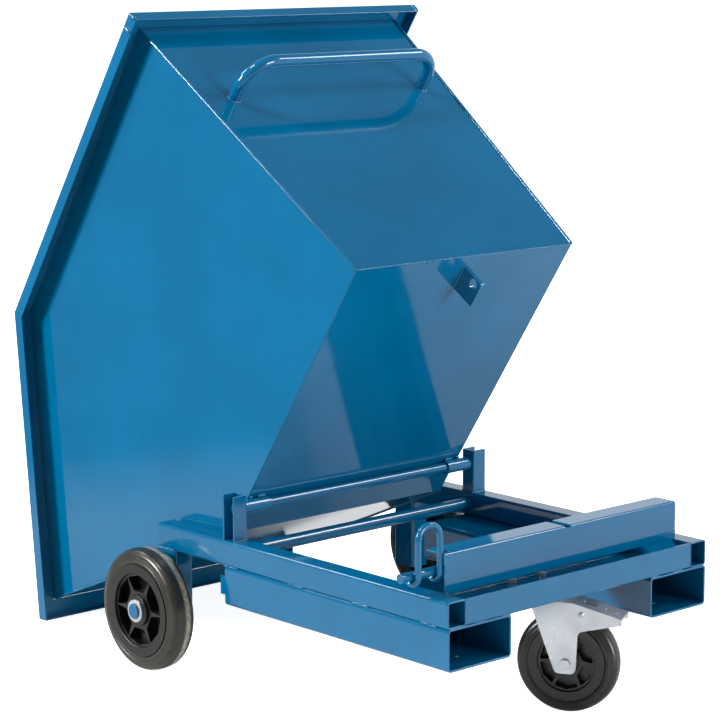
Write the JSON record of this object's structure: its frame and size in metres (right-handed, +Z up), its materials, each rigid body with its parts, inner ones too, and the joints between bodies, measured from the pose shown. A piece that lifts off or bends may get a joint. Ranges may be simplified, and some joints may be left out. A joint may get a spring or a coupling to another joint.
{
  "type": "tipping skip trolley",
  "caption": "Wheeled trolley with a sheet-steel skip that tips forward on a pivot bar, fork pockets under the frame, a push handle and a sliding latch.",
  "frame": {"origin": "on the floor under the middle of the trolley's box, with the skip tipped", "axes": "+Z up; +X towards the castor and the push handle's side; +Y to the right of a person at the handle"},
  "size_m": [1.358, 0.872, 1.3156],
  "materials": {
    "blue_paint": "gloss",
    "zinc_steel": "zinc plated",
    "black_rubber": "matte",
    "black_plastic": "satin"
  },
  "bodies": {
    "frame": {"side_member_left": "blue_paint", "side_member_right": "blue_paint", "fork_pocket_left": "blue_paint", "fork_pocket_right": "blue_paint", "castor_channel": "blue_paint", "stop_beam": "blue_paint", "cross_tube": "blue_paint", "pivot_upright_left": "blue_paint", "pivot_upright_right": "blue_paint", "axle_leg_left": "blue_paint", "axle_leg_right": "blue_paint", "stub_axle_left": "blue_paint", "stub_axle_right": "blue_paint", "wheel_spacer_left": "zinc_steel", "wheel_spacer_right": "zinc_steel", "wheel_ring_left": "zinc_steel", "wheel_ring_right": "zinc_steel", "pivot_bar": "blue_paint", "pivot_washers": "zinc_steel", "pivot_split_pins": "zinc_steel", "castor_plate": "zinc_steel", "castor_race": "zinc_steel", "castor_kingpin": "zinc_steel", "castor_kingpin_nut": "zinc_steel", "castor_bolts": "zinc_steel", "castor_nuts": "zinc_steel", "latch_guides": "blue_paint"},
    "skip": {"skip_chute": "blue_paint", "skip_bottom": "blue_paint", "skip_rear_wall": "blue_paint", "skip_side_left": "blue_paint", "skip_side_right": "blue_paint", "rim_rear": "blue_paint", "rim_front": "blue_paint", "rim_side_left": "blue_paint", "rim_side_right": "blue_paint", "pivot_sleeve_left": "blue_paint", "pivot_sleeve_right": "blue_paint", "push_handle": "blue_paint", "locking_lug": "blue_paint"},
    "wheel_left": {"wheel_tyre_left": "black_rubber", "wheel_rim_left": "black_plastic", "wheel_bearing_left": "zinc_steel"},
    "wheel_right": {"wheel_tyre_right": "black_rubber", "wheel_rim_right": "black_plastic", "wheel_bearing_right": "zinc_steel"},
    "castor_swivel": {"castor_fork": "zinc_steel", "castor_axle": "zinc_steel", "castor_axle_nut": "zinc_steel"},
    "castor_wheel": {"castor_tyre": "black_rubber", "castor_rim": "black_plastic", "castor_bush": "zinc_steel"},
    "latch": {"latch_bolt": "blue_paint", "latch_pull_loop": "blue_paint"}
  },
  "joints": [
    {"name": "skip_tip", "type": "hinge", "parent": "frame", "child": "skip", "pos_m": [-0.00296, 0, 0.352], "axis": [0, 1, 0], "range_deg": [0, 56.14]},
    {"name": "wheel_left_spin", "type": "hinge", "parent": "frame", "child": "wheel_left", "pos_m": [-0.19846, -0.3975, 0.125], "axis": [0, 1, 0], "continuous": true},
    {"name": "wheel_right_spin", "type": "hinge", "parent": "frame", "child": "wheel_right", "pos_m": [-0.19846, 0.3975, 0.125], "axis": [0, 1, 0], "continuous": true},
    {"name": "castor_swivel_turn", "type": "hinge", "parent": "frame", "child": "castor_swivel", "pos_m": [0.53054, 0, 0.22], "axis": [0, 0, 1], "continuous": true},
    {"name": "castor_wheel_spin", "type": "hinge", "parent": "castor_swivel", "child": "castor_wheel", "pos_m": [0.56951, 0.0225, 0.1], "axis": [-0.5, 0.866, 0], "continuous": true},
    {"name": "latch_slide", "type": "slide", "parent": "frame", "child": "latch", "axis": [0, 1, 0], "range_m": [0, 0.014]}
  ]
}
